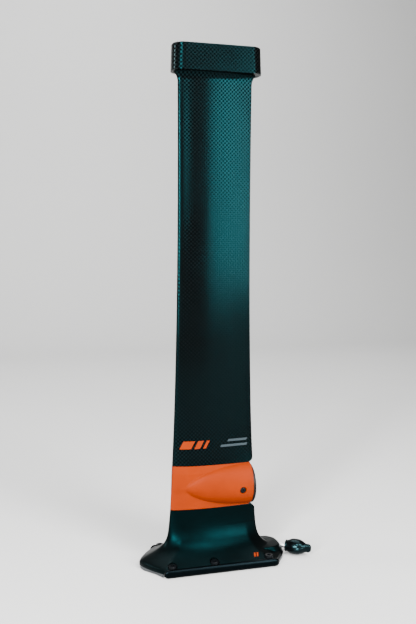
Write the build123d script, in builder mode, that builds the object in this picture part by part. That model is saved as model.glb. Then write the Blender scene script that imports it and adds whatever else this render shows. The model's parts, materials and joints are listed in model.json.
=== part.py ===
# Hydrofoil mast with a built-in motor mount, standing on its board end.
# Millimetres. +Z runs up the mast from the board face to the fuselage end,
# the leading edge faces -X, the trailing edge and the cable connector face +X,
# and the origin is the centre of the board face.
from build123d import *
from math import cos, radians, sin, sqrt
import os

os.makedirs("parts", exist_ok=True)

# ---------------------------------------------------------------- driving dimensions
MAST_TOP = 760.0            # underside of the fuselage block
BLOCK_TOP = 800.0           # fuselage seat
BAND_BOTTOM = 87.5          # lower edge of the motor mount
BAND_TOP = 157.0            # upper edge of the motor mount
JOINT_GAP = 0.15            # shadow line between mouldings

# blade sections, bottom to top: height, leading edge, trailing edge, thickness
BLADE = [
    (BAND_TOP + JOINT_GAP, -66.8, 64.6, 15.8),
    (245.0, -63.7, 62.1, 15.6),
    (340.0, -60.4, 60.4, 15.4),
    (461.0, -57.8, 59.4, 15.2),
    (613.0, -56.8, 59.8, 15.0),
    (748.0, -56.6, 61.2, 15.0),
]
ROOT_FLARE = [              # the blade spreads into the fuselage block
    BLADE[-1],
    (754.5, -58.4, 63.0, 17.6),
    (MAST_TOP, -63.5, 67.5, 26.0),
]
BAND = [
    (BAND_BOTTOM, -70.6, 67.0, 16.0),
    (BAND_TOP, -66.8, 64.6, 15.8),
]
THICKEST = 0.38             # share of the chord at which a section is thickest
STATIONS = (0.005, 0.02, 0.08, 0.2, THICKEST, 0.56, 0.74, 1.0)   # shares that shape a section
SHELL_WALL = 2.6
SPAR_FRONT, SPAR_REAR = -28.0, -4.0
CORE_BOTTOM, CORE_TOP = 172.0, 740.0

NECK_LE, NECK_TE, NECK_THICK = -60.0, 14.0, 10.0
NECK_BOTTOM = 14.0

BLOCK_X = 4.0               # centre of the block and of its two bolts along the chord
BLOCK_FOOT = (141.0, 40.5)  # length and width at the mast
BLOCK_HEAD = (138.5, 39.0)  # length and width at the fuselage seat
BLOCK_CORNER = 17.5
BLOCK_EDGE = 1.6
TENON_LE, TENON_TE, TENON_THICK, TENON_TOP = -50.0, 50.0, 12.0, 782.0
FUSELAGE_PITCH = 90.0       # two M8 fuselage bolts
M8_TAPPED_R, INSERT_R, INSERT_LENGTH = 3.4, 6.0, 16.0

POD_Z = 121.0
POD_R = 31.0
POD_REAR = 57.0
POD_LENGTH = 97.0
SOCKET_R, SOCKET_BORE_R = 24.0, 20.5
SOCKET_FRONT, SOCKET_WALL_X, SOCKET_MOUTH_X = 20.0, 28.0, 31.0
CHAMBER_R = 18.0
COVER_THICK, SPIGOT_FRONT, SPIGOT_R, SPIGOT_BORE_R = 4.6, 33.0, 20.3, 12.0
SEAL_X, SEAL_R = 50.0, 1.0
COVER_SCREW_X, COVER_SCREW_Z = 40.0, 118.0
M5_HEAD_R, M5_HEAD, M5_DOME, M5_R, M5_HEX = 4.75, 2.75, 1.8, 2.5, 3.0
COVER_HEAD_Y = 30.0         # outer face of the cover screws' heads
PIN_CIRCLE, PIN_R = 9.0, 2.0

CABLE_R = 3.5
CABLE_ROUTE = [(24, 0, 104), (24, 0, 13), (66, 17.5, 13), (85, 18, 13), (99.6, 7.4, 13)]
CABLE_BENDS = [26, 60, 22]
CONNECTOR_YAW = 36.0        # degrees the connector turns from +X towards -Y
CONNECTOR = (113.4, -2.6, 13.0)   # where its axis leaves the tail
THREAD_R, THREAD_LENGTH, NUT_SEAT = 4.0, 17.0, -6.0
NECK_R, HEAD_R, HEAD_START, HEAD_END = 4.2, 7.5, 9.5, 29.0
CONNECTOR_BORE_R, CONNECTOR_FLOOR = 6.0, 15.0
CAP_START, CAP_END, CAP_MOUTH_R, CAP_R = 8.5, 46.0, 8.8, 12.2
TAB_LENGTH = 5.0
CAP_CLEAR, CAP_END_GAP = 0.05, 0.4

PLATE_THICK = 5.0
SLAB_TOP = 11.0
BASE_HALF = 51.8            # half width inside the side rails
RAIL_HALF_LENGTH = 92.0
RAIL_OUTER, RAIL_HEIGHT, RAIL_FLANGE = 56.5, 13.0, 38.0
NOSE_X, TAIL_X = -120.0, 116.0
BOARD_SCREW_X = (-77.5, -11.0, 77.5)
BOARD_SCREW_Y = 45.0
SCREW_SEAT = 7.0
WASHER_R, WASHER_THICK = 6.6, 1.4
M8_HEAD_R, M8_HEAD, M8_R, M8_HEX = 6.5, 8.0, 4.0, 6.0
BOARD_HOLE_R, POCKET_R = 4.3, 7.4
MAST_SCREW_X = (-44.0, -20.0)
MAST_INSERT_R, MAST_INSERT_TOP = 3.0, 32.0
TAIL_HALF, TAIL_TOP, TAIL_FRONT = 30.0, 20.6, 50.0

# fairing sections, top to bottom: height, nose, tail, half width, fullness 0..1
FLARE = [
    (BAND_BOTTOM - JOINT_GAP, -70.6, 67.0, 8.0, 0.0),
    (70.0, -72.2, 68.6, 8.9, 0.05),
    (55.0, -74.0, 70.6, 11.4, 0.15),
    (42.0, -76.6, 73.4, 16.0, 0.30),
    (32.0, -80.0, 78.5, 22.5, 0.50),
    (24.0, -86.0, 90.0, 31.0, 0.72),
    (17.0, -99.0, 106.0, 41.5, 0.90),
    (SLAB_TOP, -113.0, 113.5, 49.0, 1.0),
]


# ---------------------------------------------------------------- shared profiles
def half_share(t, fullness):
    """Half thickness over its largest value, at a share t of the chord."""
    if t < THICKEST:
        return sqrt(1 - (1 - t / THICKEST) ** 2)
    blunt = 0.09 + 0.36 * fullness
    return 1 - (1 - blunt) * ((t - THICKEST) / (1 - THICKEST)) ** (1.7 + 2.4 * fullness)


def foil(le, te, thick, fullness=0.0):
    """Symmetric section with an elliptical nose; a full one is boxier at its blunt tail."""
    upper = [(le + t * (te - le), thick / 2 * half_share(t, fullness)) for t in STATIONS]
    lower = [(x, -y) for x, y in reversed(upper)]
    with BuildSketch() as section:
        with BuildLine():
            Spline(*lower, (le, 0), *upper)
            Line(upper[-1], lower[0])
        make_face()
    return section.sketch


def inner_foil(le, te, thick):
    """The hollow of a shell with an even wall, cut short of the thin trailing edge."""
    return foil(le + SHELL_WALL, te - 5 * SHELL_WALL, thick - 2 * SHELL_WALL)


def plan_outline(inset=0.0):
    """Plan of the base: a pointed nose, straight sides and a rounded tail."""
    half = BASE_HALF - inset
    nose, tail = NOSE_X + inset, TAIL_X - inset
    with BuildSketch() as plan:
        with BuildLine():
            front = Spline(
                (nose, 0), (nose + 9.5, 21.5), (nose + 21, 38), (-88, half),
                tangents=[(0, 1), (1, 0.35)],
            )
            side = Line((-88, half), (86, half))
            back = Spline((86, half), (tail - 15, 37), (tail - 4, 20), (tail, 0), tangents=[(1, -0.4), (0, -1)])
            mirror([front, side, back], about=Plane.XZ)
        make_face()
    return plan.sketch


def pod_profile(radius, rear, length):
    """Half a teardrop, for turning about the pod's axis."""
    with BuildSketch() as profile:
        with BuildLine():
            EllipticalCenterArc((rear, POD_Z), length, radius, start_angle=90, arc_size=90)
            Line((rear - length, POD_Z), (rear, POD_Z))
            Line((rear, POD_Z), (rear, POD_Z + radius))
        make_face()
    return profile.sketch


POD_AXIS = Axis((0, 0, POD_Z), (1, 0, 0))
POD_PLANE = Plane(origin=(0, 0, POD_Z), x_dir=(0, 1, 0), z_dir=(1, 0, 0))
STANDING = (Align.CENTER, Align.CENTER, Align.MIN)

YAW = radians(CONNECTOR_YAW)
CONNECTOR_PLANE = Plane(origin=CONNECTOR, x_dir=(0, 0, 1), z_dir=(cos(YAW), -sin(YAW), 0))
BOARD_SCREWS = [(x, y) for x in BOARD_SCREW_X for y in (-BOARD_SCREW_Y, BOARD_SCREW_Y)]
HEAD_SEAT = SCREW_SEAT + WASHER_THICK
FUSELAGE_BOLTS = [(BLOCK_X - FUSELAGE_PITCH / 2, 0), (BLOCK_X + FUSELAGE_PITCH / 2, 0)]


# ---------------------------------------------------------------- mast
HOLLOW = [(CORE_BOTTOM, -66.2, 64.1, 15.75)] + BLADE[1:-1] + [(CORE_TOP, -56.6, 61.1, 15.0)]

with BuildPart() as mast_blade:
    for height, *shape in BLADE:
        with BuildSketch(Plane.XY.offset(height)):
            add(foil(*shape))
    loft()
    for height, *shape in ROOT_FLARE:
        with BuildSketch(Plane.XY.offset(height)):
            add(foil(*shape))
    loft()
    # the neck runs through the motor mount and is bonded into the base
    with BuildSketch(Plane.XY.offset(NECK_BOTTOM)):
        add(foil(NECK_LE, NECK_TE, NECK_THICK))
    extrude(amount=BLADE[0][0] - NECK_BOTTOM)
    # the tenon is bonded into the fuselage block
    with BuildSketch(Plane.XY.offset(MAST_TOP)):
        add(foil(TENON_LE, TENON_TE, TENON_THICK))
    extrude(amount=TENON_TOP - MAST_TOP)
    # hollow carbon shell
    for height, *shape in HOLLOW:
        with BuildSketch(Plane.XY.offset(height)):
            add(inner_foil(*shape))
    loft(mode=Mode.SUBTRACT)
    # the trailing corner above the motor mount is rounded
    with BuildSketch(Plane.XZ):
        with BuildLine():
            Polyline((56, BAND_TOP - 1), (75, BAND_TOP - 1), (75, BAND_TOP + 9), (66.5, BAND_TOP + 9))
            ThreePointArc((66.5, BAND_TOP + 9), (63.6, BAND_TOP + 2.4), (56, BAND_TOP - 1))
        make_face()
    extrude(amount=20, both=True, mode=Mode.SUBTRACT)
    with Locations(*[(x, 0, NECK_BOTTOM) for x in MAST_SCREW_X]):
        Cylinder(MAST_INSERT_R, MAST_INSERT_TOP - NECK_BOTTOM, align=STANDING, mode=Mode.SUBTRACT)

with BuildPart() as spar_web:
    for height, *shape in HOLLOW:
        with BuildSketch(Plane.XY.offset(height)):
            add(inner_foil(*shape))
    loft()
    split(bisect_by=Plane.YZ.offset(SPAR_FRONT), keep=Keep.TOP)
    split(bisect_by=Plane.YZ.offset(SPAR_REAR), keep=Keep.BOTTOM)

with BuildPart() as leading_core:
    for height, *shape in HOLLOW:
        with BuildSketch(Plane.XY.offset(height)):
            add(inner_foil(*shape))
    loft()
    split(bisect_by=Plane.YZ.offset(SPAR_FRONT), keep=Keep.BOTTOM)

with BuildPart() as trailing_core:
    for height, *shape in HOLLOW:
        with BuildSketch(Plane.XY.offset(height)):
            add(inner_foil(*shape))
    loft()
    split(bisect_by=Plane.YZ.offset(SPAR_REAR), keep=Keep.TOP)

# ---------------------------------------------------------------- fuselage end
with BuildPart() as fuselage_block:
    with BuildSketch(Plane.XY.offset(MAST_TOP)):
        with Locations((BLOCK_X, 0)):
            RectangleRounded(*BLOCK_FOOT, BLOCK_CORNER)
    with BuildSketch(Plane.XY.offset(BLOCK_TOP)):
        with Locations((BLOCK_X, 0)):
            RectangleRounded(*BLOCK_HEAD, BLOCK_CORNER)
    loft()
    fillet(fuselage_block.faces().sort_by(Axis.Z)[-1].edges(), BLOCK_EDGE)
    with BuildSketch(Plane.XY.offset(MAST_TOP)):
        add(foil(TENON_LE, TENON_TE, TENON_THICK))
    extrude(amount=TENON_TOP - MAST_TOP, mode=Mode.SUBTRACT)
    with BuildSketch(Plane.XY.offset(BLOCK_TOP)):
        with Locations(*FUSELAGE_BOLTS):
            Circle(INSERT_R)
    extrude(amount=-INSERT_LENGTH, mode=Mode.SUBTRACT)

with BuildPart() as fuselage_inserts:
    with BuildSketch(Plane.XY.offset(BLOCK_TOP)):
        with Locations(*FUSELAGE_BOLTS):
            Circle(INSERT_R)
    extrude(amount=-INSERT_LENGTH)
    with BuildSketch(Plane.XY.offset(BLOCK_TOP)):
        with Locations(*FUSELAGE_BOLTS):
            Circle(M8_TAPPED_R)
    extrude(amount=2 - INSERT_LENGTH, mode=Mode.SUBTRACT)

# ---------------------------------------------------------------- motor mount
with BuildPart() as mount_half_left:
    for height, *shape in BAND:
        with BuildSketch(Plane.XY.offset(height)):
            add(foil(*shape))
    loft()
    with BuildSketch(Plane.XZ):
        add(pod_profile(POD_R, POD_REAR, POD_LENGTH))
    revolve(axis=POD_AXIS)
    split(bisect_by=Plane.YZ.offset(POD_REAR), keep=Keep.BOTTOM)
    with BuildSketch(Plane.XY.offset(BAND_BOTTOM)):
        add(foil(NECK_LE, NECK_TE, NECK_THICK))
    extrude(amount=BAND_TOP - BAND_BOTTOM, mode=Mode.SUBTRACT)
    with BuildSketch(POD_PLANE.offset(SOCKET_FRONT)):
        Circle(SOCKET_R)
    extrude(amount=POD_REAR - SOCKET_FRONT, mode=Mode.SUBTRACT)
    with Locations((CABLE_ROUTE[0][0], 0, BAND_BOTTOM)):
        Cylinder(CABLE_R + 0.2, 12, align=STANDING, mode=Mode.SUBTRACT)
    with BuildSketch(Plane.XZ.offset(COVER_HEAD_Y - M5_HEAD)):
        with Locations((COVER_SCREW_X, COVER_SCREW_Z)):
            Circle(M5_HEAD_R + 0.15)
    extrude(amount=2 * M5_HEAD, mode=Mode.SUBTRACT)
    with BuildSketch(Plane.XZ.offset(SOCKET_BORE_R)):
        with Locations((COVER_SCREW_X, COVER_SCREW_Z)):
            Circle(M5_R + 0.15)
    extrude(amount=COVER_HEAD_Y - SOCKET_BORE_R, mode=Mode.SUBTRACT)
    split(bisect_by=Plane.XZ, keep=Keep.TOP)

with BuildPart() as mount_half_right:
    mirror(mount_half_left.part, about=Plane.XZ)

with BuildPart() as motor_socket:
    with BuildSketch(POD_PLANE.offset(SOCKET_FRONT)):
        Circle(SOCKET_R)
    extrude(amount=POD_REAR - SOCKET_FRONT)
    with BuildSketch(POD_PLANE.offset(SOCKET_FRONT)):
        Circle(CHAMBER_R)
    extrude(amount=SOCKET_WALL_X - SOCKET_FRONT, mode=Mode.SUBTRACT)
    with BuildSketch(POD_PLANE.offset(SOCKET_MOUTH_X)):
        Circle(SOCKET_BORE_R)
    extrude(amount=POD_REAR - SOCKET_MOUTH_X, mode=Mode.SUBTRACT)
    with BuildSketch(POD_PLANE.offset(SOCKET_WALL_X)):
        with PolarLocations(PIN_CIRCLE, 3):
            Circle(PIN_R)
    extrude(amount=SOCKET_MOUTH_X - SOCKET_WALL_X, mode=Mode.SUBTRACT)
    with Locations((CABLE_ROUTE[0][0], 0, POD_Z - SOCKET_R - 1)):
        Cylinder(CABLE_R, SOCKET_R - CHAMBER_R + 3, align=STANDING, mode=Mode.SUBTRACT)
    with BuildSketch(Plane.XZ):
        with Locations((COVER_SCREW_X, COVER_SCREW_Z)):
            Circle(M5_R + 0.15)
    extrude(amount=SOCKET_R, both=True, mode=Mode.SUBTRACT)

with BuildPart() as contact_block:
    with BuildSketch(POD_PLANE.offset(SOCKET_FRONT)):
        Circle(CHAMBER_R)
    extrude(amount=SOCKET_WALL_X - SOCKET_FRONT)
    with Locations((CABLE_ROUTE[0][0], 0, POD_Z - SOCKET_R)):
        Cylinder(CABLE_R, CABLE_ROUTE[0][2] - POD_Z + SOCKET_R, align=STANDING, mode=Mode.SUBTRACT)
    with BuildSketch(POD_PLANE.offset(SOCKET_WALL_X)):
        with PolarLocations(PIN_CIRCLE, 3):
            Circle(PIN_R)
    extrude(amount=-3, mode=Mode.SUBTRACT)

with BuildPart() as contact_pins:
    with BuildSketch(POD_PLANE.offset(SOCKET_WALL_X - 3)):
        with PolarLocations(PIN_CIRCLE, 3):
            Circle(PIN_R)
    extrude(amount=15)
    fillet(contact_pins.faces().filter_by(Axis.X).sort_by(Axis.X)[-3:].edges(), 0.8)

with BuildPart() as blanking_cover:
    with BuildSketch(POD_PLANE.offset(POD_REAR)):
        Circle(POD_R + 0.4)
    extrude(amount=COVER_THICK)
    fillet(blanking_cover.faces().sort_by(Axis.X)[-1].edges(), 1.5)
    with BuildSketch(POD_PLANE.offset(SPIGOT_FRONT)):
        Circle(SPIGOT_R)
    extrude(amount=POD_REAR - SPIGOT_FRONT)
    with BuildSketch(POD_PLANE.offset(SPIGOT_FRONT)):
        Circle(SPIGOT_BORE_R)
    extrude(amount=POD_REAR - SPIGOT_FRONT, mode=Mode.SUBTRACT)
    with BuildSketch(POD_PLANE.offset(SEAL_X - SEAL_R)):
        Circle(SPIGOT_R)
        Circle(SOCKET_BORE_R - 2 * SEAL_R, mode=Mode.SUBTRACT)
    extrude(amount=2 * SEAL_R, mode=Mode.SUBTRACT)
    with BuildSketch(Plane.XZ):
        with Locations((COVER_SCREW_X, COVER_SCREW_Z)):
            Circle(3.5)
    extrude(amount=SPIGOT_R, both=True, mode=Mode.SUBTRACT)

with BuildPart() as cover_seal:
    with Locations(POD_PLANE.offset(SEAL_X)):
        Torus(SOCKET_BORE_R - SEAL_R, SEAL_R)

with BuildPart() as cover_inserts:
    with BuildSketch(Plane.XZ.offset(SPIGOT_BORE_R)):
        with Locations((COVER_SCREW_X, COVER_SCREW_Z)):
            Circle(3.5)
            Circle(M5_R, mode=Mode.SUBTRACT)
    extrude(amount=SPIGOT_R - SPIGOT_BORE_R - 1)
    mirror(about=Plane.XZ)

with BuildPart() as cover_screws:
    with BuildSketch(Plane.XZ.offset(COVER_HEAD_Y)):
        with Locations((COVER_SCREW_X, COVER_SCREW_Z)):
            Circle(M5_HEAD_R)
    extrude(amount=-M5_HEAD)
    fillet(cover_screws.faces().sort_by(Axis.Y)[0].edges(), M5_DOME)
    with BuildSketch(Plane.XZ.offset(COVER_HEAD_Y)):
        with Locations((COVER_SCREW_X, COVER_SCREW_Z)):
            RegularPolygon(M5_HEX / 2, 6, major_radius=False)
    extrude(amount=-1.6, mode=Mode.SUBTRACT)
    with BuildSketch(Plane.XZ.offset(COVER_HEAD_Y - M5_HEAD)):
        with Locations((COVER_SCREW_X, COVER_SCREW_Z)):
            Circle(M5_R)
    extrude(amount=SPIGOT_BORE_R + 1 + M5_HEAD - COVER_HEAD_Y)
    mirror(about=Plane.XZ)

# ---------------------------------------------------------------- cable
with BuildPart() as motor_cable:
    with BuildLine() as route:
        FilletPolyline(*CABLE_ROUTE, radius=CABLE_BENDS)
    with BuildSketch(Plane.XY.offset(CABLE_ROUTE[0][2])):
        with Locations(CABLE_ROUTE[0][:2]):
            Circle(CABLE_R)
    sweep(path=route.wires()[0])

with BuildPart(mode=Mode.PRIVATE) as cable_duct_shape:
    with BuildLine() as duct_route:
        FilletPolyline(*CABLE_ROUTE, radius=CABLE_BENDS)
    with BuildSketch(Plane.XY.offset(CABLE_ROUTE[0][2])):
        with Locations(CABLE_ROUTE[0][:2]):
            Circle(CABLE_R + 0.2)
    sweep(path=duct_route.wires()[0])
cable_duct = cable_duct_shape.part

# ---------------------------------------------------------------- base
with BuildPart() as base_fairing:
    for height, nose, tail, half, fullness in FLARE:
        with BuildSketch(Plane.XY.offset(height)):
            add(foil(nose, tail, 2 * half, fullness))
    loft()
    with BuildSketch(Plane.XY.offset(PLATE_THICK)):
        add(plan_outline())
    extrude(amount=SLAB_TOP - PLATE_THICK)
    # raised tail around the connector
    with BuildSketch(Plane.XY.offset(PLATE_THICK)):
        with Locations(((TAIL_FRONT + TAIL_X - 1) / 2, 0)):
            RectangleRounded(TAIL_X - 1 - TAIL_FRONT, 2 * TAIL_HALF, 20)
    extrude(amount=TAIL_TOP - PLATE_THICK, taper=8)
    # bonded neck of the mast
    with BuildSketch(Plane.XY.offset(NECK_BOTTOM)):
        add(foil(NECK_LE, NECK_TE, NECK_THICK))
    extrude(amount=BAND_BOTTOM - NECK_BOTTOM, mode=Mode.SUBTRACT)
    # the trailing corner below the motor mount is rounded
    with BuildSketch(Plane.XZ):
        with BuildLine():
            Polyline((58, BAND_BOTTOM + 1), (78, BAND_BOTTOM + 1), (78, BAND_BOTTOM - 9), (67.8, BAND_BOTTOM - 9))
            ThreePointArc((67.8, BAND_BOTTOM - 9), (65.2, BAND_BOTTOM - 2.4), (58, BAND_BOTTOM + 1))
        make_face()
    extrude(amount=20, both=True, mode=Mode.SUBTRACT)
    # cable duct, tail cavity and connector hole
    add(cable_duct, mode=Mode.SUBTRACT)
    with BuildSketch(Plane.XY.offset(PLATE_THICK)):
        with Locations((83, 9)):
            RectangleRounded(40, 38, 8)
    extrude(amount=12.5, mode=Mode.SUBTRACT)
    with BuildSketch(CONNECTOR_PLANE.offset(NUT_SEAT)):
        Circle(6.2)
    extrude(amount=-20, mode=Mode.SUBTRACT)
    with BuildSketch(CONNECTOR_PLANE.offset(NUT_SEAT)):
        Circle(NECK_R + 0.1)
    extrude(amount=10 - NUT_SEAT, mode=Mode.SUBTRACT)
    # board screw seats
    with BuildSketch(Plane.XY.offset(SCREW_SEAT)):
        with Locations(*BOARD_SCREWS):
            Circle(POCKET_R)
    extrude(amount=60, mode=Mode.SUBTRACT)
    with BuildSketch(Plane.XY):
        with Locations(*BOARD_SCREWS):
            Circle(BOARD_HOLE_R)
    extrude(amount=SCREW_SEAT, mode=Mode.SUBTRACT)
    with BuildSketch(Plane.XY):
        with Locations(*[(x, 0) for x in MAST_SCREW_X]):
            Circle(M5_R + 0.25)
    extrude(amount=NECK_BOTTOM, mode=Mode.SUBTRACT)

with BuildPart() as base_plate:
    with BuildSketch(Plane.XY):
        add(plan_outline(inset=1.5))
        with GridLocations(0, 2 * BASE_HALF, 1, 2):
            Rectangle(2 * RAIL_HALF_LENGTH, 2 * (BASE_HALF - RAIL_FLANGE), mode=Mode.SUBTRACT)
    extrude(amount=PLATE_THICK)
    with Locations(*[(x, 0, 0) for x in MAST_SCREW_X]):
        Cylinder(M5_R + 0.25, PLATE_THICK, align=STANDING, mode=Mode.SUBTRACT)
        Cone(M5_R + 2.75, M5_R, 2.9, align=STANDING, mode=Mode.SUBTRACT)

with BuildPart() as side_rail_left:
    with BuildSketch(Plane.XY):
        with Locations((0, (RAIL_FLANGE + RAIL_OUTER) / 2)):
            RectangleRounded(2 * RAIL_HALF_LENGTH, RAIL_OUTER - RAIL_FLANGE, 2.6)
    extrude(amount=RAIL_HEIGHT)
    fillet(side_rail_left.faces().sort_by(Axis.Z)[-1].edges(), 1.8)
    with BuildSketch(Plane.XY.offset(PLATE_THICK)):
        with Locations((0, BASE_HALF - 10)):
            Rectangle(2 * RAIL_HALF_LENGTH + 1, 20)
    extrude(amount=RAIL_HEIGHT, mode=Mode.SUBTRACT)
    with BuildSketch(Plane.XY):
        with Locations(*[(x, BOARD_SCREW_Y) for x in BOARD_SCREW_X]):
            Circle(BOARD_HOLE_R)
    extrude(amount=PLATE_THICK, mode=Mode.SUBTRACT)

with BuildPart() as side_rail_right:
    mirror(side_rail_left.part, about=Plane.XZ)

with BuildPart() as board_washers:
    with BuildSketch(Plane.XY.offset(SCREW_SEAT)):
        with Locations(*BOARD_SCREWS):
            Circle(WASHER_R)
            Circle(BOARD_HOLE_R, mode=Mode.SUBTRACT)
    extrude(amount=WASHER_THICK)

with BuildPart() as board_screws:
    with BuildSketch(Plane.XY.offset(HEAD_SEAT)):
        with Locations(*BOARD_SCREWS):
            Circle(M8_HEAD_R)
    extrude(amount=M8_HEAD)
    chamfer(board_screws.faces().filter_by(Axis.Z).group_by(Axis.Z)[-1].edges(), 0.7)
    with BuildSketch(Plane.XY.offset(HEAD_SEAT + M8_HEAD)):
        with Locations(*BOARD_SCREWS):
            RegularPolygon(M8_HEX / 2, 6, major_radius=False)
    extrude(amount=-4, mode=Mode.SUBTRACT)
    with BuildSketch(Plane.XY.offset(0.4)):
        with Locations(*BOARD_SCREWS):
            Circle(M8_R)
    extrude(amount=HEAD_SEAT - 0.4)

with BuildPart() as mast_inserts:
    with BuildSketch(Plane.XY.offset(NECK_BOTTOM)):
        with Locations(*[(x, 0) for x in MAST_SCREW_X]):
            Circle(MAST_INSERT_R)
            Circle(M5_R, mode=Mode.SUBTRACT)
    extrude(amount=MAST_INSERT_TOP - NECK_BOTTOM)

with BuildPart() as mast_screws:
    with Locations(*[(x, 0, 0.4) for x in MAST_SCREW_X]):
        Cone(M5_R + 2.25, M5_R, 2.5, align=STANDING)
        Cylinder(M5_R, 25, align=STANDING)
    with BuildSketch(Plane.XY.offset(0.4)):
        with Locations(*[(x, 0) for x in MAST_SCREW_X]):
            RegularPolygon(1.5, 6, major_radius=False)
    extrude(amount=2, mode=Mode.SUBTRACT)

# ---------------------------------------------------------------- tail connector
with BuildPart() as connector_shell:
    with BuildSketch(CONNECTOR_PLANE.offset(-THREAD_LENGTH)):
        Circle(THREAD_R)
    extrude(amount=THREAD_LENGTH)
    with BuildSketch(CONNECTOR_PLANE):
        Circle(NECK_R)
    extrude(amount=HEAD_START)
    with BuildSketch(CONNECTOR_PLANE.offset(HEAD_START)):
        Circle(HEAD_R)
    extrude(amount=HEAD_END - HEAD_START)
    with BuildSketch(CONNECTOR_PLANE.offset(CONNECTOR_FLOOR)):
        Circle(CONNECTOR_BORE_R)
    extrude(amount=HEAD_END - CONNECTOR_FLOOR, mode=Mode.SUBTRACT)
    with BuildSketch(CONNECTOR_PLANE.offset(-THREAD_LENGTH)):
        Circle(2.4)
    extrude(amount=THREAD_LENGTH + CONNECTOR_FLOOR, mode=Mode.SUBTRACT)

with BuildPart() as connector_gasket:
    with BuildSketch(CONNECTOR_PLANE.offset(NUT_SEAT - 1)):
        Circle(6.1)
        Circle(THREAD_R, mode=Mode.SUBTRACT)
    extrude(amount=1)

with BuildPart() as connector_locknut:
    with BuildSketch(CONNECTOR_PLANE.offset(NUT_SEAT - 5)):
        RegularPolygon(5.2, 6, major_radius=False)
        Circle(THREAD_R, mode=Mode.SUBTRACT)
    extrude(amount=4)

with BuildPart() as connector_insulator:
    with BuildSketch(CONNECTOR_PLANE.offset(CONNECTOR_FLOOR)):
        Circle(CONNECTOR_BORE_R)
        with PolarLocations(3.2, 3):
            Circle(0.9, mode=Mode.SUBTRACT)
    extrude(amount=7)

with BuildPart() as connector_pins:
    with BuildSketch(CONNECTOR_PLANE.offset(CONNECTOR_FLOOR)):
        with PolarLocations(3.2, 3):
            Circle(0.9)
    extrude(amount=12)

with BuildPart() as dust_cap:
    # teardrop body along the connector's axis, hollow over the connector's head
    with BuildSketch(Plane(origin=CONNECTOR, x_dir=CONNECTOR_PLANE.z_dir, z_dir=(-sin(YAW), -cos(YAW), 0))):
        with BuildLine():
            Spline(
                (CAP_START, CAP_MOUTH_R), (CAP_START + 9, CAP_R), (CAP_END - 10, 8.6), (CAP_END, 0),
                tangents=[(0.6, 1), (0, -1)],
            )
            Polyline((CAP_END, 0), (CAP_START, 0), (CAP_START, CAP_MOUTH_R))
        make_face()
    revolve(axis=Axis(CONNECTOR, CONNECTOR_PLANE.z_dir))
    with BuildSketch(CONNECTOR_PLANE.offset(CAP_START)):
        Circle(HEAD_R + CAP_CLEAR)
    extrude(amount=HEAD_END + CAP_END_GAP - CAP_START, mode=Mode.SUBTRACT)
    # pull tab
    with BuildSketch(CONNECTOR_PLANE.offset(CAP_END - 8)):
        RectangleRounded(10, 5, 2)
    extrude(amount=8 + TAB_LENGTH)

pieces = {
    "mast_blade": mast_blade,
    "spar_web": spar_web,
    "leading_core": leading_core,
    "trailing_core": trailing_core,
    "fuselage_block": fuselage_block,
    "fuselage_inserts": fuselage_inserts,
    "mount_half_left": mount_half_left,
    "mount_half_right": mount_half_right,
    "motor_socket": motor_socket,
    "contact_block": contact_block,
    "contact_pins": contact_pins,
    "blanking_cover": blanking_cover,
    "cover_seal": cover_seal,
    "cover_inserts": cover_inserts,
    "cover_screws": cover_screws,
    "motor_cable": motor_cable,
    "base_fairing": base_fairing,
    "base_plate": base_plate,
    "side_rail_left": side_rail_left,
    "side_rail_right": side_rail_right,
    "board_washers": board_washers,
    "board_screws": board_screws,
    "mast_inserts": mast_inserts,
    "mast_screws": mast_screws,
    "connector_shell": connector_shell,
    "connector_gasket": connector_gasket,
    "connector_locknut": connector_locknut,
    "connector_insulator": connector_insulator,
    "connector_pins": connector_pins,
    "dust_cap": dust_cap,
}
for name, piece in pieces.items():
    piece.part.label = name
    export_step(piece.part, f"parts/{name}.step")
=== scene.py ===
"""Looks of a hydrofoil mast with a motor mount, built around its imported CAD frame."""

import json
import math

import bmesh
import bpy
import numpy as np
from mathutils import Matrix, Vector


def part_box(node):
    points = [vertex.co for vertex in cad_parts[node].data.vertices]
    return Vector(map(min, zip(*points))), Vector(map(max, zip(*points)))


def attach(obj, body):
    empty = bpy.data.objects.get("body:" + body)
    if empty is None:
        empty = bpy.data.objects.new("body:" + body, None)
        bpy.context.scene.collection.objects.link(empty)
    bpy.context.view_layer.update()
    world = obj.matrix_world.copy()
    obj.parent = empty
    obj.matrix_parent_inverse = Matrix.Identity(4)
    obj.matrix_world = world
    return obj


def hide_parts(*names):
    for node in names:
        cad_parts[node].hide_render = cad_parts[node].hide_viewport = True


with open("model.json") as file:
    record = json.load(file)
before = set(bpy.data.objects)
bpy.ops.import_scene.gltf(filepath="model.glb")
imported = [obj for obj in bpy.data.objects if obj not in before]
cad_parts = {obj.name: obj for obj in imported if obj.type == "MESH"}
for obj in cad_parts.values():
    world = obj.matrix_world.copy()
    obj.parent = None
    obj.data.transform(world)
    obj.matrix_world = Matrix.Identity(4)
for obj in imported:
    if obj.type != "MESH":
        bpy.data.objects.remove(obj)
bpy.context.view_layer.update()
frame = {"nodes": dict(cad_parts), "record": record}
nodes = frame["nodes"]

# Shapes are worked out in millimetres, as in the CAD, and written to meshes in metres.
MM = 0.001
NEAR = -1.0                   # side of the blade that faces -Y


def box_mm(name):
    """Lowest and highest corner of a CAD node, in millimetres."""
    low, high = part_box(name)
    return np.array(low) / MM, np.array(high) / MM


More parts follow.
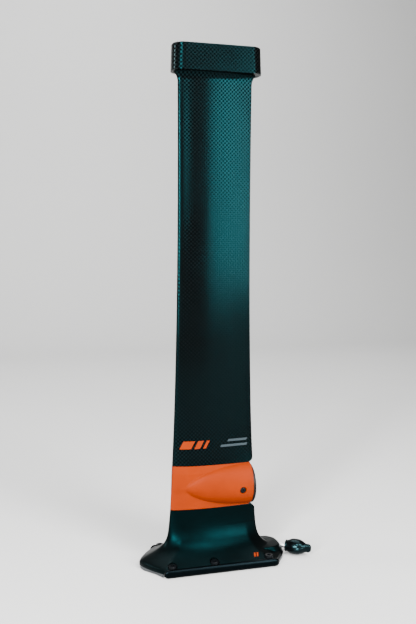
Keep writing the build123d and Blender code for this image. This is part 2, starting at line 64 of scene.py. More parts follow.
# ------------------------------------------------------------------ driving dimensions
BAND_LOW, BAND_HIGH = box_mm("mount_half_left")
BAND_BOTTOM, BAND_TOP = BAND_LOW[2], BAND_HIGH[2]
BLOCK_LOW = box_mm("fuselage_block")[0]
PLATE_HIGH = box_mm("base_plate")[1]
FAIRING_LOW, FAIRING_HIGH = box_mm("base_fairing")
RAIL_LOW, RAIL_HIGH = box_mm("side_rail_left")
COVER_LOW, COVER_HIGH = box_mm("blanking_cover")
SCREW_LOW, SCREW_HIGH = box_mm("cover_screws")
BOARD_LOW, BOARD_HIGH = box_mm("board_screws")
BLADE_ROOT = BLOCK_LOW[2]
FLARE_HEIGHT = 16.0           # the blade spreads over this height under the block
JOINT_GAP = 0.15

POD_Z = (COVER_LOW[2] + COVER_HIGH[2]) / 2
POD_R = 31.0
POD_REAR = BAND_HIGH[0]
POD_SHOULDER = 0.88           # the pod is drawn up into the blade above its axis
POD_LENGTH = 104.0
BLEND_BELOW, BLEND_ABOVE = 28.0, 60.0
THICKEST = 0.38               # share of the chord at which a section is thickest
CORNER_R = 8.0                # rounded trailing corners beside the motor mount

RAIL_FLANGE = 13.8            # depth of the rail's foot under the fairing
RAIL_END = 7.0                # length over which a rail's end is rounded
RAIL_END_RISE, RAIL_END_DROP = 5.0, 6.5        # how far it closes in from below and above
BOARD_POCKET_R, BOARD_POCKET_FLOOR = 7.4, 7.0
BOARD_HEAD_R, BOARD_MIDDLE_X = 6.5, -11.0
COVER_POCKET_R = (SCREW_HIGH[0] - SCREW_LOW[0]) / 2 + 0.5
COVER_HEAD = 2.75
CONNECTOR = np.array([113.4, -2.6, 13.0])      # where the cable connector leaves the tail
CONNECTOR_YAW = math.radians(36)
CONNECTOR_AXIS = np.array([math.cos(CONNECTOR_YAW), -math.sin(CONNECTOR_YAW), 0])
CONNECTOR_NECK_R = 4.2
HOLE_CLEARANCE = 0.1
CAP_START, CAP_TIP = 8.5, 51.0                 # dust cap along the connector's axis


# ------------------------------------------------------------------ shape of the blade
NECK_TOP, NECK_SPAN = 748.0, 660.5             # top of the plain mast, and its length to the fairing
LEAD_X, LEAD_SWEEP = -56.6, 14.0               # leading edge at the top, and how far it leans out below
WAIST_Z, WAIST_X = 470.0, 59.35                # trailing edge where it stands furthest in
TRAIL_BELOW, TRAIL_ABOVE = 7.65, 1.9           # how far it leans out below and above that
HALF_TOP, HALF_GROWTH = 7.5, 0.5               # half thickness at the top, and what it gains below
FLARE_LEAD, FLARE_TRAIL, FLARE_HALF = 6.9, 6.4, 5.3   # what the flare adds to each at the block


def flare(z):
    """Share of the flare under the block at a height, from 0 to 1."""
    rise = max(z - BLADE_ROOT + FLARE_HEIGHT, 0) / FLARE_HEIGHT
    return rise ** 2.5


def leading_edge(z):
    sweep = LEAD_SWEEP * (max(NECK_TOP - z, 0) / NECK_SPAN) ** 2.6
    return LEAD_X - sweep - FLARE_LEAD * flare(z)


def trailing_edge(z):
    below = max(WAIST_Z - z, 0) / (WAIST_Z - (NECK_TOP - NECK_SPAN))
    above = max(z - WAIST_Z, 0) / (NECK_TOP - WAIST_Z)
    return WAIST_X + TRAIL_BELOW * below ** 2 + TRAIL_ABOVE * above ** 2 + FLARE_TRAIL * flare(z)


def blade_half(z):
    return HALF_TOP + HALF_GROWTH * (NECK_TOP - z) / NECK_SPAN + FLARE_HALF * flare(z)


def foil(t, blunt=0.09):
    """Half thickness over its largest value, at a share t of the chord."""
    nose = np.sqrt(1 - np.clip(1 - t / THICKEST, 0, 1) ** 2)
    return nose - (1 - blunt) * np.clip((t - THICKEST) / (1 - THICKEST), 0, 1) ** 1.7


def pod_half(x, z):
    """Half width of the motor pod, falling below zero outside it."""
    share = np.clip((POD_REAR - x) / POD_LENGTH, -1, 1)
    radius = POD_R * (1 - share ** 2) ** 0.6
    off_axis = abs(z - POD_Z) * (POD_SHOULDER if z > POD_Z else 1)
    ahead = np.maximum(POD_REAR - POD_LENGTH - x, 0)
    inside = np.sqrt(np.maximum(radius ** 2 - off_axis ** 2, 0))
    return inside - 0.35 * np.maximum(off_axis - radius, 0) - 0.7 * ahead


def pod_blend(z):
    """Width of the soft join between blade and pod: wide above the pod, tighter below it."""
    share = min(max((z - POD_Z + 8) / 32, 0), 1)
    return BLEND_BELOW + (BLEND_ABOVE - BLEND_BELOW) * share


def smooth_max(a, b, width):
    near = np.maximum(width - np.abs(a - b), 0) / width
    return np.maximum(a, b) + near ** 3 * width / 6


def surface_half(x, z):
    """Half thickness of blade, motor mount and fairing top at chord position x."""
    front, rear = leading_edge(z), trailing_edge(z)
    t = np.clip((x - front) / (rear - front), 0, 1)
    return smooth_max(blade_half(z) * foil(t), pod_half(x, z), pod_blend(z))


def corner_trim(distance):
    """How far a rounded corner draws the trailing edge in, at a distance from the joint."""
    left = max(CORNER_R - distance, 0)
    return CORNER_R - math.sqrt(CORNER_R ** 2 - left ** 2)


# ------------------------------------------------------------------ mesh helpers
def new_object(name, verts, faces, sharp_angle=35):
    """A smooth-shaded mesh, in metres, with its sharp edges kept by angle."""
    mesh = bpy.data.meshes.new(name)
    mesh.from_pydata([tuple(v) for v in np.asarray(verts, float) * MM], [], faces)
    mesh.validate()
    piece = bpy.data.objects.new(name, mesh)
    bpy.context.scene.collection.objects.link(piece)
    keep_sharp(piece, sharp_angle)
    return piece


def keep_sharp(piece, angle):
    work = bmesh.new()
    work.from_mesh(piece.data)
    bmesh.ops.recalc_face_normals(work, faces=work.faces)
    for face in work.faces:
        face.smooth = True
    for edge in work.edges:
        edge.smooth = len(edge.link_faces) == 2 and edge.calc_face_angle(0) < math.radians(angle)
    work.to_mesh(piece.data)
    work.free()


def skin(name, rings, sharp_angle=35):
    """A closed shell through rings of equal length, with a flat cap at each end."""
    count = len(rings[0])
    verts = np.concatenate(rings)
    faces = []
    for k in range(len(rings) - 1):
        a, b = k * count, (k + 1) * count
        faces += [(a + i, a + (i + 1) % count, b + (i + 1) % count, b + i) for i in range(count)]
    last = (len(rings) - 1) * count
    faces.append(tuple(reversed(range(count))))
    faces.append(tuple(last + i for i in range(count)))
    return new_object(name, verts, faces, sharp_angle)


def turned(name, profile, origin, axis, side, sections=48, shape=None, sharp_angle=35):
    """A piece turned about an axis from (distance, radius) points; shape may vary the radius by angle."""
    axis, side = np.array(axis, float), np.array(side, float)
    third = np.cross(axis, side)
    angles = 2 * math.pi * np.arange(sections) / sections
    rings = []
    for distance, radius in profile:
        r = radius * (shape(distance, angles) if shape else np.ones(sections))
        centre = np.array(origin) + distance * axis
        rings.append(centre + np.outer(r * np.cos(angles), side) + np.outer(r * np.sin(angles), third))
    return skin(name, rings, sharp_angle)


def combine(piece, tools, operation="DIFFERENCE"):
    """Joins or takes away other shapes by boolean, and removes them."""
    for tool in tools:
        modifier = piece.modifiers.new("combine", "BOOLEAN")
        modifier.object = tool
        modifier.operation = operation
        modifier.solver = "EXACT"
    depsgraph = bpy.context.evaluated_depsgraph_get()
    mesh = bpy.data.meshes.new_from_object(piece.evaluated_get(depsgraph))
    piece.modifiers.clear()
    piece.data = mesh
    for tool in tools:
        bpy.data.objects.remove(tool)
    keep_sharp(piece, 30)


def chord_shares(count):
    return (1 - np.cos(np.linspace(0, math.pi, count))) / 2


# ------------------------------------------------------------------ shells
def blade_ring(z, trim=0.0, steps=56, cap_steps=5):
    """Outline of the blade at a height: near side, rounded trailing edge, far side."""
    front, rear = leading_edge(z), trailing_edge(z) - trim
    round_r = min(float(surface_half(rear - 1, z)), 3.5)
    x = front + (rear - round_r - front) * chord_shares(steps)
    half = surface_half(x, z)
    half[0] = 0
    turn = np.linspace(0, math.pi, cap_steps + 2)[1:-1]
    cap = [(rear - round_r + round_r * math.sin(a), -half[-1] * math.cos(a), z) for a in turn]
    near = [(px, -h, z) for px, h in zip(x, half)]
    far = [(px, h, z) for px, h in zip(x[:0:-1], half[:0:-1])]
    return np.array(near + cap + far)


def make_blade():
    bottom = BAND_TOP + JOINT_GAP
    heights = np.concatenate([
        bottom + 40 * np.linspace(0, 1, 26) ** 1.6,
        np.linspace(bottom + 52, BLADE_ROOT - FLARE_HEIGHT - 6, 40),
        BLADE_ROOT - FLARE_HEIGHT + np.linspace(0, FLARE_HEIGHT, 12),
    ])
    return skin("blade_skin", [blade_ring(z, corner_trim(z - bottom)) for z in heights])


def make_mount_half(name, side):
    """One orange moulding: foil front, round pod, flat on the middle plane."""
    rings = []
    for z in np.linspace(BAND_BOTTOM, BAND_TOP, 71):
        front = leading_edge(z)
        x = front + (POD_REAR - front) * chord_shares(110)
        half = surface_half(x, z)
        half[0] = 0.06
        outline = [(px, side * max(h, 0.06), z) for px, h in zip(x, half)]
        outline.append((POD_REAR, side * 0.06, z))
        rings.append(np.array(outline))
    return skin(name, rings)


NOSE_SHARE, TAIL_SHARE = 0.136, 0.127          # shares of the base's length that narrow to its ends


def end_profile(s):
    return np.clip(s, 0, 1) ** 0.7


def base_plan(t):
    """Half width of the base over its largest value: pointed nose, straight sides, round tail."""
    nose, tail = end_profile(t / NOSE_SHARE), end_profile((1 - t) / TAIL_SHARE)
    return np.minimum(nose, tail)


FAIRING_SLAB = 11.0           # height of the slab beside the rails
NOSE_X, TAIL_X = FAIRING_LOW[0], FAIRING_HIGH[0]
SIDE_HALF = FAIRING_HIGH[1]
EDGE_OVERHANG = 1.5           # the slab's rounded edge stands out this far past the flare
SWEEP = 0.09                  # how fast both edges lean out below the motor mount
TAIL_TOP, TAIL_FRONT, TAIL_HALF, TAIL_CORNER = 20.5, 50.0, 29.5, 20.0
NOSE_FALL, SIDE_FALL, TAIL_FALL = (15.0, 1.52), (21.0, 1.12), (11.1, 1.13)
TAIL_REAR = TAIL_X - 2
TAIL_EDGE, TAIL_LEAN, TAIL_REAR_LEAN = 3.0, 3.0, 5.0


def spread(height, fall):
    """Share of the full flare at a height above the slab; fall is its height scale and sharpness."""
    scale, power = fall
    return math.exp(-((height / scale) ** power))


def fairing_ring(z, steps=72):
    """Outline of the flared fairing at a height above its slab: chord positions and half widths."""
    drop, height = BAND_BOTTOM - z, z - FAIRING_SLAB
    nose_spread, side_spread = spread(height, NOSE_FALL), spread(height, SIDE_FALL)
    tail_spread = spread(height, TAIL_FALL)
    top_front, top_rear = leading_edge(BAND_BOTTOM), trailing_edge(BAND_BOTTOM)
    slab_drop = SWEEP * (BAND_BOTTOM - FAIRING_SLAB)
    nose_reach = top_front - slab_drop - (NOSE_X + EDGE_OVERHANG)
    tail_reach = (TAIL_X - EDGE_OVERHANG) - top_rear - slab_drop
    front = top_front - SWEEP * drop - nose_reach * nose_spread
    rear = top_rear + SWEEP * drop + tail_reach * tail_spread - corner_trim(drop - JOINT_GAP)
    top_half = blade_half(BAND_BOTTOM)
    half_width = top_half + (SIDE_HALF - EDGE_OVERHANG - top_half) * side_spread
    t = chord_shares(steps)
    full = side_spread ** 0.8
    shape = (1 - full) * foil(t, 0.09 + 0.4 * side_spread) + full * base_plan(t)
    x = front + (rear - front) * t
    half = half_width * shape
    if z > POD_Z - 2 * POD_R:
        half = smooth_max(half, pod_half(x, z), pod_blend(z))
    half[0] = 0
    return x, half


def rounded_plan(front, rear, half, corner, z, steps=9):
    """A rectangle with round corners at a height, as a ring."""
    centres = ((rear - corner, half - corner, 0), (front + corner, half - corner, 1),
               (front + corner, corner - half, 2), (rear - corner, corner - half, 3))
    ring = []
    for x, y, quarter in centres:
        for a in np.linspace(quarter, quarter + 1, steps) * math.pi / 2:
            ring.append((x + corner * math.cos(a), y + corner * math.sin(a), z))
    return np.array(ring)


def make_tail():
    """The raised housing around the connector, tapered with a rounded top edge."""
    rings = [rounded_plan(TAIL_FRONT, TAIL_REAR, TAIL_HALF, TAIL_CORNER, FAIRING_SLAB - 4)]
    for a in np.linspace(0, math.pi / 2, 7):
        turn_in = TAIL_EDGE * (1 - math.cos(a))
        front, rear = TAIL_FRONT + TAIL_LEAN + turn_in, TAIL_REAR - TAIL_REAR_LEAN - turn_in
        z = TAIL_TOP - TAIL_EDGE * (1 - math.sin(a))
        rings.append(rounded_plan(front, rear, TAIL_HALF - TAIL_LEAN - turn_in, TAIL_CORNER - turn_in, z))
    return skin("tail", rings)


def make_fairing():
    rings = []
    heights = np.concatenate([
        BAND_BOTTOM - JOINT_GAP - 14 * np.linspace(0, 1, 16) ** 1.6,
        np.linspace(72, 27, 34),
        FAIRING_SLAB + 15 * np.linspace(1, 0, 26) ** 1.3,
    ])
    for z in heights:
        x, half = fairing_ring(z)
        near = [(px, -h, z) for px, h in zip(x, half)]
        far = [(px, h, z) for px, h in zip(x[:0:-1], half[:0:-1])]
        rings.append(np.array(near + far))
    widest = rings[-1]
    thick = FAIRING_SLAB - PLATE_HIGH[2]
    for a in np.linspace(0, math.pi / 2, 5)[1:].tolist() + [None]:
        grow = EDGE_OVERHANG * math.sin(a) if a else EDGE_OVERHANG
        ring = widest.copy()
        ring[:, 0] *= 1 + grow / abs(NOSE_X)
        ring[:, 1] *= 1 + grow / SIDE_HALF
        ring[:, 2] -= 0.6 * thick * (1 - math.cos(a)) if a else thick
        rings.append(ring)
    return skin("fairing_skin", rings)


def make_rail(name, side):
    """Side rail: a round-faced bar with round ends, and the flat foot that reaches under the fairing."""
    inner, outer, top = RAIL_LOW[1] + RAIL_FLANGE, RAIL_HIGH[1], RAIL_HIGH[2]
    length = RAIL_HIGH[0]
    rings = []
    for x in length * np.sin(np.linspace(-1, 1, 61) * math.pi / 2):
        left = max(RAIL_END - (length - abs(x)), 0) / RAIL_END
        keep = math.sqrt(max(1 - left ** 2, 0.0))
        low_z, high_z = RAIL_END_RISE * (1 - keep), top - RAIL_END_DROP * (1 - keep)
        depth = (outer - inner) * (0.2 + 0.8 * keep)
        ring = []
        for a in np.linspace(-math.pi / 2, math.pi / 2, 17):
            bulge = abs(math.cos(a)) ** 0.75
            rise = math.copysign(abs(math.sin(a)) ** 0.8, a)
            z = (low_z + high_z) / 2 + rise * (high_z - low_z) / 2
            ring.append((x, side * (inner + depth * bulge), z))
        rings.append(np.array(ring))
    rail = skin(name, rings)
    reach, overlap, corner = length - 4, 0.4, 2.0
    foot = [rounded_plan(-reach, reach, RAIL_FLANGE / 2 + overlap, corner, z) for z in (0.0, PLATE_HIGH[2])]
    for ring in foot:
        ring[:, 1] += side * (inner - RAIL_FLANGE / 2 + overlap)
    combine(rail, [skin("foot", foot)], "UNION")
    return rail


def cap_shape(distance, angles):
    """Thumb recesses on both flat sides of the dust cap, narrowing to its tip, and a flattened pull tab."""
    along = (distance - CAP_START - 3) / (CAP_TIP - CAP_START - 12)
    half_angle = 0.95 * (1 - along)
    factor = np.ones_like(angles)
    for centre in (0.42 * math.pi, 1.58 * math.pi):
        off = np.abs((angles - centre + math.pi) % (2 * math.pi) - math.pi)
        inside = np.clip((half_angle - off) / 0.22, 0, 1) * np.clip(along / 0.15, 0, 1)
        factor -= 0.10 * inside ** 2 * (3 - 2 * inside)
    flat = np.clip((distance - CAP_TIP + 13) / 9, 0, 1)
    return factor * (1 - flat * 0.5 * np.sin(angles) ** 2)


CAP_BORE_R, CAP_FLOOR, CAP_LIP_R = 7.6, 29.4, 9.3
CAP_NECK_R, CAP_GRIP_R, CAP_END_R = 8.8, 12.5, 6.8
CAP_FULLEST = 0.38            # share of the grip's length at which it is widest
CAP_TAB = 7.0                 # length of the rounded end


def make_dust_cap():
    """Moulded rubber cap, open at the connector, with a lip, a swollen grip and a pull tab."""
    start, bore = CAP_START, CAP_BORE_R
    inside = [(CAP_FLOOR, 0.4), (CAP_FLOOR, bore - 0.8), (CAP_FLOOR - 0.8, bore), (start + 0.6, bore)]
    lip = [(start, bore + 0.4), (start, CAP_LIP_R - 0.6), (start + 0.7, CAP_LIP_R), (start + 1.8, CAP_LIP_R)]
    grip_start = start + 2.5
    grip = [(grip_start, CAP_NECK_R)]
    for share in np.linspace(0, 1, 30)[1:]:
        distance = grip_start + share * (CAP_TIP - CAP_TAB - grip_start)
        if share < CAP_FULLEST:
            swell = math.sin(math.pi / 2 * share / CAP_FULLEST)
            radius = CAP_NECK_R + (CAP_GRIP_R - CAP_NECK_R) * swell
        else:
            past = (share - CAP_FULLEST) / (1 - CAP_FULLEST)
            fall = 0.5 + 0.5 * math.cos(math.pi * past ** 1.7)
            radius = CAP_END_R + (CAP_GRIP_R - CAP_END_R) * fall
        grip.append((distance, radius))
    tab = []
    for a in np.linspace(0.15, 1.55, 9):
        tab.append((CAP_TIP - CAP_TAB * (1 - math.sin(a)), 0.3 + (CAP_END_R + 0.1) * math.cos(a) ** 0.6))
    return turned("dust_cap_skin", inside + lip + grip + tab, CONNECTOR, CONNECTOR_AXIS, (0, 0, 1),
                  sections=72, shape=cap_shape)


def make_stripe(name, corners, target, thick=0.12):
    """A painted bar: four corners as (x, z), laid on the side of a piece that faces -Y."""
    (x0, z0), (x1, z1), (x2, z2), (x3, z3) = corners
    rows, columns = 8, 28
    front, back = [], []
    for i in range(rows + 1):
        for k in range(columns + 1):
            s, t = k / columns, i / rows
            x = (1 - t) * ((1 - s) * x0 + s * x1) + t * ((1 - s) * x3 + s * x2)
            z = (1 - t) * ((1 - s) * z0 + s * z1) + t * ((1 - s) * z3 + s * z2)
            hit, place, _, _ = target.ray_cast((x * MM, -0.3, z * MM), (0, 1, 0))
            assert hit, name
            front.append((x, place.y / MM - thick, z))
            back.append((x, place.y / MM + 0.3, z))
    width = columns + 1
    count = (rows + 1) * width
    faces = []
    for i in range(rows):
        for k in range(columns):
            a = i * width + k
            faces.append((a, a + 1, a + width + 1, a + width))
            faces.append((count + a, count + a + width, count + a + width + 1, count + a + 1))
    edge = list(range(width)) + [i * width + columns for i in range(1, rows + 1)]
    edge += [rows * width + k for k in range(columns - 1, -1, -1)]
    edge += [i * width for i in range(rows - 1, 0, -1)]
    for a, b in zip(edge, edge[1:] + edge[:1]):
        faces.append((a, count + a, count + b, b))
    return new_object(name, front + back, faces)


# ------------------------------------------------------------------ build
blade = make_blade()
mount_left = make_mount_half("mount_skin_left", 1)
mount_right = make_mount_half("mount_skin_right", NEAR)
fairing = make_fairing()
combine(fairing, [make_tail()], "UNION")
rail_left = make_rail("rail_skin_left", 1)
rail_right = make_rail("rail_skin_right", NEAR)
dust_cap = make_dust_cap()

# counterbores of the two screws that hold the motor cover
screw_x, screw_z = (SCREW_LOW[0] + SCREW_HIGH[0]) / 2, (SCREW_LOW[2] + SCREW_HIGH[2]) / 2
seat_y = SCREW_HIGH[1] - COVER_HEAD
for half, side in ((mount_left, 1), (mount_right, NEAR)):
    mouth = [(-3, COVER_POCKET_R), (COVER_HEAD + 0.1, COVER_POCKET_R),
             (COVER_HEAD + 1.6, COVER_POCKET_R + 1.2)]
    combine(half, [turned("pocket", mouth, (screw_x, side * seat_y, screw_z), (0, side, 0), (1, 0, 0))])

# pockets of the six board screws and the connector's hole
pockets = []
for x in (BOARD_LOW[0] + BOARD_HEAD_R, BOARD_MIDDLE_X, BOARD_HIGH[0] - BOARD_HEAD_R):
    for y in (BOARD_LOW[1] + BOARD_HEAD_R, BOARD_HIGH[1] - BOARD_HEAD_R):
        depth = [(0, BOARD_POCKET_R), (40, BOARD_POCKET_R)]
        pockets.append(turned("pocket", depth, (x, y, BOARD_POCKET_FLOOR), (0, 0, 1), (1, 0, 0)))
hole = [(distance, CONNECTOR_NECK_R + HOLE_CLEARANCE) for distance in (-10, 12)]
pockets.append(turned("pocket", hole, CONNECTOR, CONNECTOR_AXIS, (0, 0, 1)))
combine(fairing, pockets)

# painted stripes: slanted orange bars and grey rules on the blade, one small pair on the fairing
SLANT = 0.55
BAR_START, BAR_LOW, BAR_HIGH = -57.0, 184.0, 196.0
RULE_LOW, RULE_THICK, RULE_STEP, RULE_END = 184.5, 3.5, 8.0, 52.0
MARK_START, MARK_WIDTH, MARK_STEP, MARK_LOW, MARK_HIGH = 54.0, 2.5, 4.5, 15.0, 18.5
stripes = []


def stripe(name, slot, x0, x1, z0, z1, target):
    lean = SLANT * (z1 - z0)
    piece = make_stripe(name, [(x0, z0), (x1, z0), (x1 + lean, z1), (x0 + lean, z1)], target)
    stripes.append((piece, slot))


for k, (offset, width) in enumerate(((0, 18.0), (23.0, 9.0), (37.0, 4.5))):
    start = BAR_START + offset
    stripe(f"orange_bar_{k + 1}", "orange_plastic", start, start + width, BAR_LOW, BAR_HIGH, blade)
for k, start in enumerate((8.0, 20.0)):
    low = RULE_LOW + RULE_STEP * k
    stripe(f"grey_rule_{k + 1}", "graphic_grey", start, RULE_END, low, low + RULE_THICK, blade)
for k in range(2):
    start = MARK_START + MARK_STEP * k
    stripe(f"base_bar_{k + 1}", "orange_plastic", start, start + MARK_WIDTH, MARK_LOW, MARK_HIGH, fairing)

for piece, node, slot in (
    (blade, "mast_blade", "carbon"),
    (mount_left, "mount_half_left", "orange_plastic"),
    (mount_right, "mount_half_right", "orange_plastic"),
    (fairing, "base_fairing", "fairing_black"),
    (rail_left, "side_rail_left", "rail_anodised"),
    (rail_right, "side_rail_right", "rail_anodised"),
):
    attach(piece, "mast")
    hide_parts(node)
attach(dust_cap, "dust_cap")
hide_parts("dust_cap")
for piece, slot in stripes:
    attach(piece, "mast")


# ------------------------------------------------------------------ materials
class Shade:
    """A node material on one Principled shader, with short calls for the nodes in front of it."""

    def __init__(self, name, color, roughness, **sockets):
        self.material = bpy.data.materials.new(name)
        self.material.use_nodes = True
        self.tree = self.material.node_tree
        self.shader = self.tree.nodes["Principled BSDF"]
        self.set("Base Color", (*color, 1))
        self.set("Roughness", roughness)
        for socket, value in sockets.items():
            self.set(socket.replace("_", " ").title().replace("Ior", "IOR"), value)
        self.place = self.add("TexCoord").outputs["Object"]

    def set(self, socket, value):
        self.feed(self.shader.inputs[socket], value)

    def feed(self, socket, value):
        if isinstance(value, bpy.types.NodeSocket):
            self.tree.links.new(value, socket)
        else:
            socket.default_value = value

    def add(self, kind, **properties):
        node = self.tree.nodes.new("ShaderNode" + kind)
        for key, value in properties.items():
            setattr(node, key, value)
        return node

    def math(self, operation, *values):
        node = self.add("Math", operation=operation)
        for socket, value in zip(node.inputs, values):
            self.feed(socket, value)
        return node.outputs[0]

    def axes(self):
        node = self.add("SeparateXYZ")
        self.feed(node.inputs[0], self.place)
        return node.outputs

    def noise(self, scale, detail=3.0, stretch=(1, 1, 1)):
        mapping = self.add("Mapping")
        self.feed(mapping.inputs["Vector"], self.place)
        mapping.inputs["Scale"].default_value = stretch
        node = self.add("TexNoise")
        self.feed(node.inputs["Vector"], mapping.outputs[0])
        node.inputs["Scale"].default_value = scale
        node.inputs["Detail"].default_value = detail
        return node.outputs[0]

    def pick(self, share, first, second):
        """first where share is 0, second where it is 1."""
        node = self.add("Mix", data_type="FLOAT")
        for socket, value in zip((node.inputs[0], node.inputs[2], node.inputs[3]), (share, first, second)):
            self.feed(socket, value)
        return node.outputs[0]

    def span(self, value, low, high, start=0.0, end=1.0):
        """Maps value from start..end onto low..high."""
        node = self.add("MapRange")
        for socket, v in zip(node.inputs, (value, start, end, low, high)):
            self.feed(socket, v)
        return node.outputs[0]

    def blend(self, share, first, second):
        node = self.add("Mix", data_type="RGBA")
        self.feed(node.inputs[0], share)
        self.feed(node.inputs[6], (*first, 1) if isinstance(first, tuple) else first)
        self.feed(node.inputs[7], (*second, 1) if isinstance(second, tuple) else second)
        return node.outputs[2]

    def bump(self, height, distance, strength=1.0):
        """distance is the relief in metres."""
        node = self.add("Bump")
        node.inputs["Strength"].default_value = strength
        node.inputs["Distance"].default_value = distance
        self.feed(node.inputs["Height"], height)
        self.set("Normal", node.outputs[0])

    def wear(self, low, high, scale=60.0, stretch=(1, 1, 1)):
        """Uneven roughness, as on a handled surface."""
        self.set("Roughness", self.span(self.noise(scale, 4, stretch), low, high, 0.3, 0.7))


# Teal tint on the reflections of the carbon and the fairing: a painted light colour, standing in for
# teal-tinted light.
PAINTED_TEAL_LIGHT = (0.03, 0.62, 0.72, 1)


def carbon_weave(name, tow=3.0):
    """Clear-coated plain weave, its tows running up the mast and across it."""
    shade = Shade(name, (0.004, 0.01, 0.012), 0.4, specular_ior_level=0.07, specular_tint=PAINTED_TEAL_LIGHT)
    x, y, z = shade.axes()
    facing = shade.add("SeparateXYZ")
    shade.feed(facing.inputs[0], shade.add("TexCoord").outputs["Normal"])
    nx, ny, nz = (shade.math("ABSOLUTE", n) for n in facing.outputs)
    broadside = shade.math("GREATER_THAN", shade.math("ADD", ny, nz), nx)
    level = shade.math("GREATER_THAN", nz, 0.75)
    u = shade.math("DIVIDE", shade.pick(broadside, y, x), tow * MM)
    v = shade.math("DIVIDE", shade.pick(level, z, y), tow * MM)
    cell = shade.math("ADD", shade.math("FLOOR", u), shade.math("FLOOR", v))
    warp_up = shade.math("LESS_THAN", shade.math("FLOORED_MODULO", cell, 2.0), 0.5)
    crowns = []
    for axis in (u, v):
        off_middle = shade.math("SUBTRACT", shade.math("FRACT", axis), 0.5)
        fall = shade.math("MULTIPLY", 4.0, shade.math("POWER", off_middle, 2.0))
        crowns.append(shade.math("SUBTRACT", 1.0, fall))
    crown = shade.math("MULTIPLY", shade.math("POWER", crowns[0], 0.5), shade.math("POWER", crowns[1], 0.5))
    filaments = shade.pick(warp_up, shade.noise(1500, 2, (0.1, 0.1, 1)), shade.noise(1500, 2, (1, 1, 0.1)))
    # Painted light in the base colour: warp tows lighter than weft tows as a painted sheen, and every tow
    # darker towards its edges as painted shade.
    painted_tow_sheen = shade.math("MULTIPLY", shade.span(warp_up, 0.12, 1.0), shade.span(crown, 0.2, 1.0))
    painted_tow_sheen = shade.math("MULTIPLY", painted_tow_sheen, shade.span(filaments, 0.7, 1.3, 0.3, 0.7))
    shade.set("Base Color", shade.blend(painted_tow_sheen, (0.0001, 0.0001, 0.0001), (0.0022, 0.0025, 0.0026)))
    shade.set("Specular IOR Level", shade.span(warp_up, 0.008, 0.094))
    shade.bump(crown, 0.00006, 0.25)
    smudge = shade.span(shade.noise(16, 5, (1, 1, 0.5)), 0.27, 0.35, 0.35, 0.65)
    shade.set("Roughness", shade.math("SUBTRACT", smudge, shade.span(warp_up, 0.0, 0.11)))
    return shade.material


def moulded(name, color, low, high, grain=900.0, relief=0.00003, **sockets):
    """Plastic or rubber with a fine grain and a little colour variation."""
    shade = Shade(name, color, low, **sockets)
    darker = tuple(0.88 * c for c in color)
    cloud = shade.span(shade.noise(22, 4), 0, 1, 0.35, 0.65)
    shade.set("Base Color", shade.blend(cloud, darker, color))
    shade.wear(low, high)
    shade.bump(shade.noise(grain, 2), relief, 0.5)
    return shade.material


def metal(name, color, low, high, stretch=(1, 1, 1), grain=700.0, metallic=1.0, **sockets):
    """Machined, drawn or anodised metal, brushed along the axis that stretch shortens."""
    shade = Shade(name, color, low, metallic=metallic, **sockets)
    darker = tuple(0.8 * c for c in color)
    streaks = shade.span(shade.noise(60, 4, stretch), 0, 1, 0.35, 0.65)
    shade.set("Base Color", shade.blend(streaks, darker, color))
    shade.wear(low, high, 120, stretch)
    shade.bump(shade.noise(grain, 3, stretch), 0.00002, 0.4)
    return shade.material


materials = {
    "carbon": carbon_weave("carbon"),
    "carbon_spar": moulded("carbon_spar", (0.02, 0.02, 0.022), 0.5, 0.7, 500, 0.00005),
    "foam": moulded("foam", (0.72, 0.62, 0.4), 0.8, 0.95, 1500, 0.0002),
    "orange_plastic": moulded("orange_plastic", (0.125, 0.0122, 0.0), 0.42, 0.52, specular_ior_level=0.03),
    "black_plastic": moulded("black_plastic", (0.001, 0.0012, 0.0014), 0.4, 0.5, specular_ior_level=0.1),
    "fairing_black": moulded("fairing_black", (0.0004, 0.0005, 0.0005), 0.30, 0.38,
                             specular_ior_level=0.054, specular_tint=PAINTED_TEAL_LIGHT),
    "rail_anodised": metal("rail_anodised", (0.0015, 0.0028, 0.0034), 0.22, 0.30, (0.05, 1, 1)),
    "plate_alloy": metal("plate_alloy", (0.08, 0.085, 0.09), 0.4, 0.5),
    "black_steel": metal("black_steel", (0.002, 0.0025, 0.003), 0.22, 0.34, metallic=0.1,
                         specular_ior_level=0.06),
    "stainless": metal("stainless", (0.6, 0.6, 0.61), 0.25, 0.4),
    "brass": metal("brass", (0.75, 0.5, 0.18), 0.25, 0.4),
    "connector_silver": metal("connector_silver", (0.5, 0.51, 0.52), 0.28, 0.4, metallic=0.7),
    # The dust cap's reflections tinted teal: a painted light colour, standing in for teal-tinted light.
    "rubber_black": moulded("rubber_black", (0.0006, 0.0007, 0.0008), 0.18, 0.26, specular_ior_level=0.11,
                            specular_tint=(0.3, 0.8, 0.9, 1)),
    "graphic_grey": moulded("graphic_grey", (0.012, 0.019, 0.023), 0.4, 0.5, specular_ior_level=0.1),
    "cable_jacket": moulded("cable_jacket", (0.012, 0.012, 0.012), 0.5, 0.65),
}


def dress(piece, slot):
    piece.data.materials.clear()
    piece.data.materials.append(materials[slot])


for row in frame["record"]["subparts"]:
    for material_slot in nodes[row["node"]].material_slots:
        material_slot.material = materials[row["material_slot"]]
for piece, slot in ((blade, "carbon"), (mount_left, "orange_plastic"), (mount_right, "orange_plastic"),
                    (fairing, "fairing_black"), (rail_left, "rail_anodised"), (rail_right, "rail_anodised"),
                    (dust_cap, "rubber_black"), *stripes):
    dress(piece, slot)

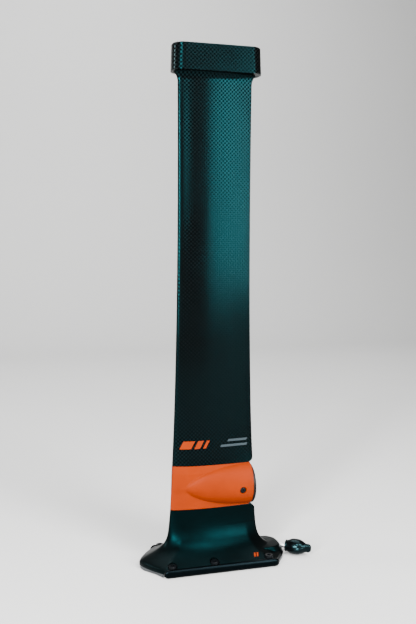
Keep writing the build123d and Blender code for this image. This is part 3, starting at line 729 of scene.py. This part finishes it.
# ------------------------------------------------------------------ camera, floor and light
def look_from(place, yaw, pitch, lens):
    """A camera at a place, turned by yaw from +Y towards +X and down by pitch, in degrees."""
    data = bpy.data.cameras.new("camera")
    data.lens = lens
    data.sensor_width = 36
    data.clip_start, data.clip_end = 0.05, 50
    camera = bpy.data.objects.new("camera", data)
    camera.location = place
    camera.rotation_euler = (math.radians(90 - pitch), 0, math.radians(-yaw))
    bpy.context.scene.collection.objects.link(camera)
    bpy.context.scene.camera = camera


look_from((-0.3391, -1.1552, 0.4924), yaw=15.95, pitch=4.56, lens=44.73)


def softbox(name, place, target, size, power):
    data = bpy.data.lights.new(name, "AREA")
    data.shape = "RECTANGLE"
    data.size, data.size_y = size
    data.energy = power
    light = bpy.data.objects.new(name, data)
    light.location = place
    aim = Vector(target) - Vector(place)
    light.rotation_euler = aim.to_track_quat("-Z", "Y").to_euler()
    bpy.context.scene.collection.objects.link(light)


# the key lights the rear of the blade, the edge light its leading edge, the high ones the base
softbox("key", (1.0, -1.75, 0.79), (0, 0, 0.5), (0.78, 0.95), 112)
softbox("edge", (-1.45, -1.65, 0.74), (0, 0, 0.55), (0.3, 0.85), 169)
softbox("front", (-0.3, -2.3, 0.98), (0, 0, 0.55), (0.5, 0.6), 21)
softbox("rim", (-2.0, 0.6, 1.2), (0, 0, 0.6), (0.5, 0.9), 39)
softbox("high_front", (0.55, -1.2, 1.6), (0, 0, 0.05), (0.6, 0.6), 60)
softbox("high_left", (-0.8, -1.3, 1.45), (0, 0, 0.05), (0.45, 0.45), 65)
softbox("overhead", (0.1, 0.4, 2.6), (0, 0.3, 0.0), (2.0, 1.6), 78)
softbox("backdrop_light", (0.0, 1.6, 2.9), (0, 3.8, 1.1), (3.0, 0.8), 182)

world = bpy.data.worlds.new("studio")
world.use_nodes = True
world.node_tree.nodes["Background"].inputs["Color"].default_value = (0.82, 0.82, 0.82, 1)
world.node_tree.nodes["Background"].inputs["Strength"].default_value = 0.16
bpy.context.scene.world = world


def make_backdrop():
    """A pale paper sweep: floor, a large curve and a wall."""
    half_width, front, back, radius, top = 6000, -4000, 2500, 1500, 6000
    profile = [(front, 0), (back, 0)]
    for a in np.linspace(0, math.pi / 2, 17)[1:]:
        profile.append((back + radius * math.sin(a), radius * (1 - math.cos(a))))
    profile.append((back + radius, top))
    verts = [(side * half_width, y, z) for y, z in profile for side in (-1, 1)]
    faces = [(2 * k, 2 * k + 1, 2 * k + 3, 2 * k + 2) for k in range(len(profile) - 1)]
    return new_object("backdrop", verts, faces, 60)


backdrop = make_backdrop()
paper = Shade("paper", (0.4, 0.4, 0.396), 0.8)
paper.wear(0.75, 0.85, 5)
backdrop.data.materials.append(paper.material)
